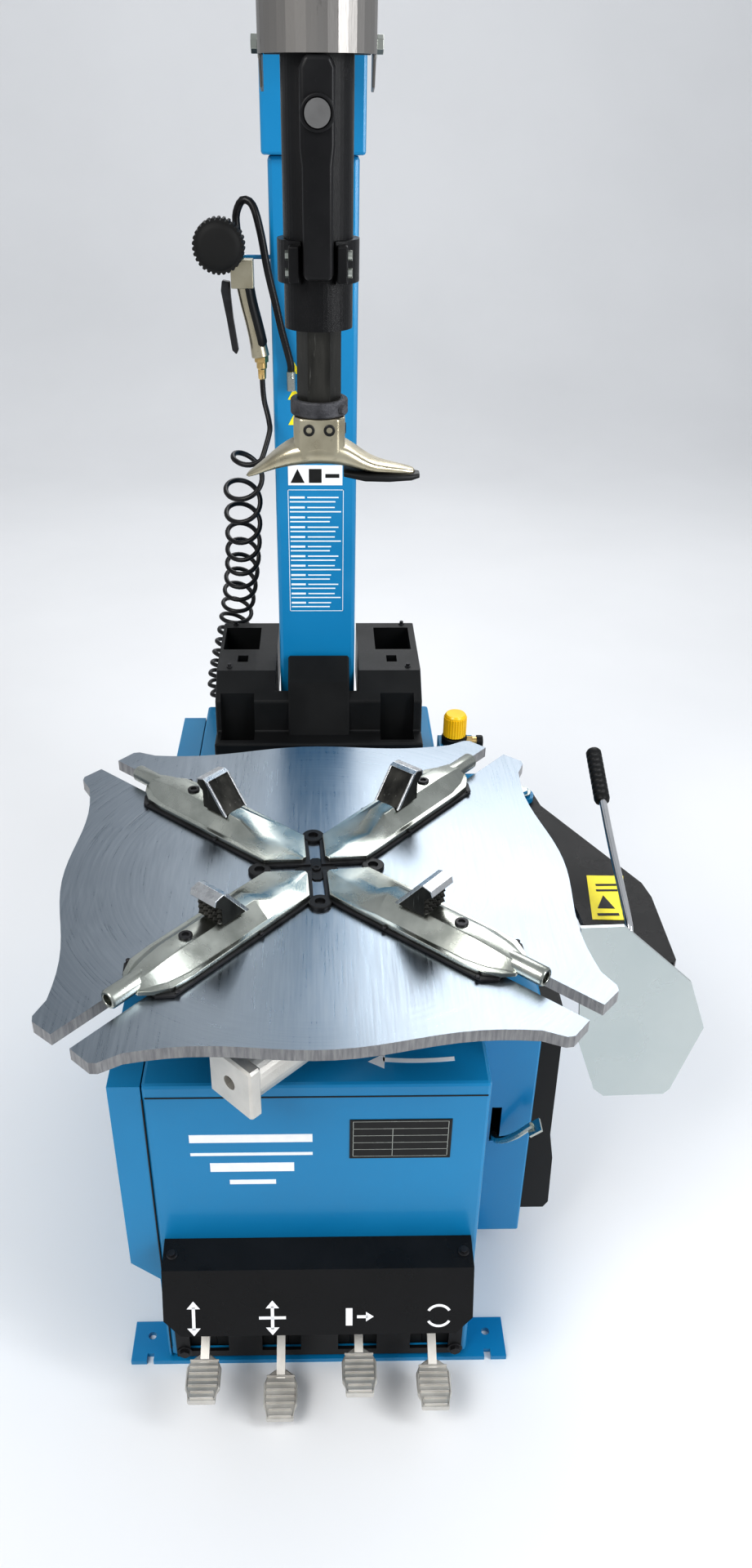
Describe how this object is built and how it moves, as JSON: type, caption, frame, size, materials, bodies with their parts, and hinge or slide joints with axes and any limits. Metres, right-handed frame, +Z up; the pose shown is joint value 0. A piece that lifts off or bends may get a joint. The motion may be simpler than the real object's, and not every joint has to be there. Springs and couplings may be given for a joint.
{
  "type": "tire changer machine",
  "caption": "Floor-standing tyre changer: turntable with sliding clamps on a cabinet, tilting column with mount head, side bead breaker, foot pedals, tool tray and inflator gun.",
  "frame": {"origin": "centre of the bounding box's underside, on the floor, measured without the air hoses", "axes": "+Z up; +X to the operator's right, where the bead breaker is; the pedals and the operator are on the -Y side, the column on the +Y side"},
  "size_m": [0.9045, 1.1907, 1.9],
  "materials": {
    "blue_paint": "glossy bright blue paint on folded sheet steel",
    "rubber": "dull black rubber",
    "hose": "satin black air hose",
    "zinc": "zinc-plated casting",
    "black_coat": "textured black powder coat",
    "grey_coat": "dark grey metallic coat",
    "steel": "brushed and ground steel",
    "iron": "dark cast iron",
    "aluminium": "cast aluminium, ribbed treads",
    "black_plastic": "moulded black plastic",
    "grey_plastic": "dark grey plastic button",
    "brass": "machined brass",
    "nickel_bronze": "satin nickel-plated casting",
    "yellow_plastic": "ribbed yellow plastic"
  },
  "bodies": {
    "cabinet": {"base_frame": "blue_paint", "cabinet_body": "blue_paint", "left_side_cover": "blue_paint", "bead_cylinder_housing": "blue_paint", "wheel_support_pad": "rubber", "lever_hook": "zinc", "pedal_cover": "black_coat", "pedal_plate": "black_coat", "pedal_shaft": "steel", "gearbox": "iron", "motor": "black_coat", "drive_belt": "rubber", "column_hinge_bracket": "black_coat", "tilt_cylinder": "aluminium", "bead_hinge": "blue_paint", "bead_cylinder": "aluminium", "tool_tray": "black_plastic", "air_regulator": "blue_paint", "hose_fitting": "brass", "supply_coil": "hose", "supply_hose": "hose"},
    "turntable": {"turntable_plate": "steel", "turntable_shaft": "iron", "clamp_cylinder_1": "aluminium", "clamp_cylinder_2": "aluminium"},
    "column_body": {"column": "blue_paint", "arm_sleeve": "blue_paint", "inflator_gun": "zinc", "pressure_gauge": "rubber", "air_chuck": "zinc", "whip_hose": "hose"},
    "trigger": {"gun_trigger": "iron"},
    "arm": {"horizontal_arm": "black_coat", "shaft_guide": "black_coat", "head_guard": "grey_coat", "guide_clamp_ring": "black_coat", "lock_handle": "black_plastic"},
    "button": {"lock_button": "grey_plastic"},
    "head_shaft": {"hex_shaft": "steel", "mount_head": "nickel_bronze"},
    "breaker_arm": {"bead_arm": "black_coat", "bead_handle": "steel"},
    "blade": {"bead_blade": "zinc"},
    "breaker_rod": {"bead_rod": "steel"},
    "column_rod": {"tilt_rod": "steel"},
    "knob": {"regulator_knob": "yellow_plastic"},
    "upper_pulley": {"gearbox_pulley": "iron"},
    "lower_pulley": {"motor_pulley": "iron"},
    "clamp_1": {"clamp_slide_1": "zinc", "clamp_jaw_1": "steel"},
    "clamp_2": {"clamp_slide_2": "zinc", "clamp_jaw_2": "steel"},
    "clamp_3": {"clamp_slide_3": "zinc", "clamp_jaw_3": "steel"},
    "clamp_4": {"clamp_slide_4": "zinc", "clamp_jaw_4": "steel"},
    "tilt_lever": {"pedal_tilt": "aluminium"},
    "clamp_lever": {"pedal_clamp": "aluminium"},
    "bead_lever": {"pedal_bead": "aluminium"},
    "turn_lever": {"pedal_turn": "aluminium"}
  },
  "joints": [
    {"name": "turntable_spin", "type": "hinge", "parent": "cabinet", "child": "turntable", "pos_m": [-0.0998, -0.2193, 0.709], "axis": [0, 0, 1], "continuous": true},
    {"name": "clamp_1_slide", "type": "slide", "parent": "turntable", "child": "clamp_1", "axis": [0.66, 0.7513, 0], "range_m": [0, 0.13]},
    {"name": "clamp_2_slide", "type": "slide", "parent": "turntable", "child": "clamp_2", "axis": [-0.7513, 0.66, 0], "range_m": [0, 0.13]},
    {"name": "clamp_3_slide", "type": "slide", "parent": "turntable", "child": "clamp_3", "axis": [-0.66, -0.7513, 0], "range_m": [0, 0.13]},
    {"name": "clamp_4_slide", "type": "slide", "parent": "turntable", "child": "clamp_4", "axis": [0.7513, -0.66, 0], "range_m": [0, 0.13]},
    {"name": "column_tilt", "type": "hinge", "parent": "cabinet", "child": "column_body", "pos_m": [-0.0998, 0.4827, 0.6], "axis": [-1, 0, 0], "range_deg": [0, 25]},
    {"name": "tilt_rod_slide", "type": "slide", "parent": "cabinet", "child": "column_rod", "axis": [0, -1, 0], "range_m": [0, 0.0606]},
    {"name": "arm_slide", "type": "slide", "parent": "column_body", "child": "arm", "axis": [0, 1, 0], "range_m": [-0.1, 0.25]},
    {"name": "shaft_slide", "type": "slide", "parent": "arm", "child": "head_shaft", "axis": [0, 0, 1], "range_m": [-0.4, 0.06]},
    {"name": "lock_button_press", "type": "slide", "parent": "arm", "child": "button", "axis": [0, 1, 0], "range_m": [0, 0.004], "stiffness_N_per_m": 800},
    {"name": "bead_arm_swing", "type": "hinge", "parent": "cabinet", "child": "breaker_arm", "pos_m": [0.2502, 0.1957, 0.553], "axis": [0, 0, 1], "range_deg": [0, 45]},
    {"name": "blade_pivot", "type": "hinge", "parent": "breaker_arm", "child": "blade", "pos_m": [0.3502, -0.2193, 0.553], "axis": [0, 0, 1], "range_deg": [-15, 15]},
    {"name": "bead_rod_slide", "type": "slide", "parent": "cabinet", "child": "breaker_rod", "axis": [1, 0, 0], "range_m": [0, 0.0688]},
    {"name": "tilt_pedal_press", "type": "hinge", "parent": "cabinet", "child": "tilt_lever", "pos_m": [-0.2588, -0.1593, 0.115], "axis": [1, 0, 0], "range_deg": [-3, 5], "stiffness_Nm_per_rad": 60},
    {"name": "clamp_pedal_press", "type": "hinge", "parent": "cabinet", "child": "clamp_lever", "pos_m": [-0.1543, -0.1593, 0.115], "axis": [1, 0, 0], "range_deg": [-9, 0], "stiffness_Nm_per_rad": 60},
    {"name": "bead_pedal_press", "type": "hinge", "parent": "cabinet", "child": "bead_lever", "pos_m": [-0.0443, -0.1593, 0.115], "axis": [1, 0, 0], "range_deg": [0, 8], "stiffness_Nm_per_rad": 60},
    {"name": "turn_pedal_press", "type": "hinge", "parent": "cabinet", "child": "turn_lever", "pos_m": [0.0602, -0.1593, 0.115], "axis": [1, 0, 0], "range_deg": [-5, 5], "stiffness_Nm_per_rad": 60},
    {"name": "trigger_squeeze", "type": "hinge", "parent": "column_body", "child": "trigger", "pos_m": [-0.2268, 0.3337, 1.357], "axis": [0, -1, 0], "range_deg": [0, 8], "stiffness_Nm_per_rad": 2},
    {"name": "regulator_turn", "type": "hinge", "parent": "cabinet", "child": "knob", "pos_m": [0.1437, 0.3167, 0.618], "axis": [0, 0, 1], "range_deg": [-180, 180]},
    {"name": "gearbox_pulley_spin", "type": "hinge", "parent": "cabinet", "child": "upper_pulley", "pos_m": [-0.1898, -0.0773, 0.47], "axis": [0, 1, 0], "continuous": true},
    {"name": "motor_pulley_spin", "type": "hinge", "parent": "cabinet", "child": "lower_pulley", "pos_m": [-0.1898, -0.0773, 0.25], "axis": [0, 1, 0], "continuous": true}
  ],
  "couplings": [
    {"joint": "clamp_2_slide", "follows": "clamp_1_slide", "ratio": 1},
    {"joint": "clamp_3_slide", "follows": "clamp_1_slide", "ratio": 1},
    {"joint": "clamp_4_slide", "follows": "clamp_1_slide", "ratio": 1},
    {"joint": "tilt_rod_slide", "follows": "column_tilt", "m_per_rad": 0.138},
    {"joint": "bead_rod_slide", "follows": "bead_arm_swing", "m_per_rad": 0.0875},
    {"joint": "gearbox_pulley_spin", "follows": "turntable_spin", "ratio": 60},
    {"joint": "motor_pulley_spin", "follows": "turntable_spin", "ratio": 135}
  ]
}
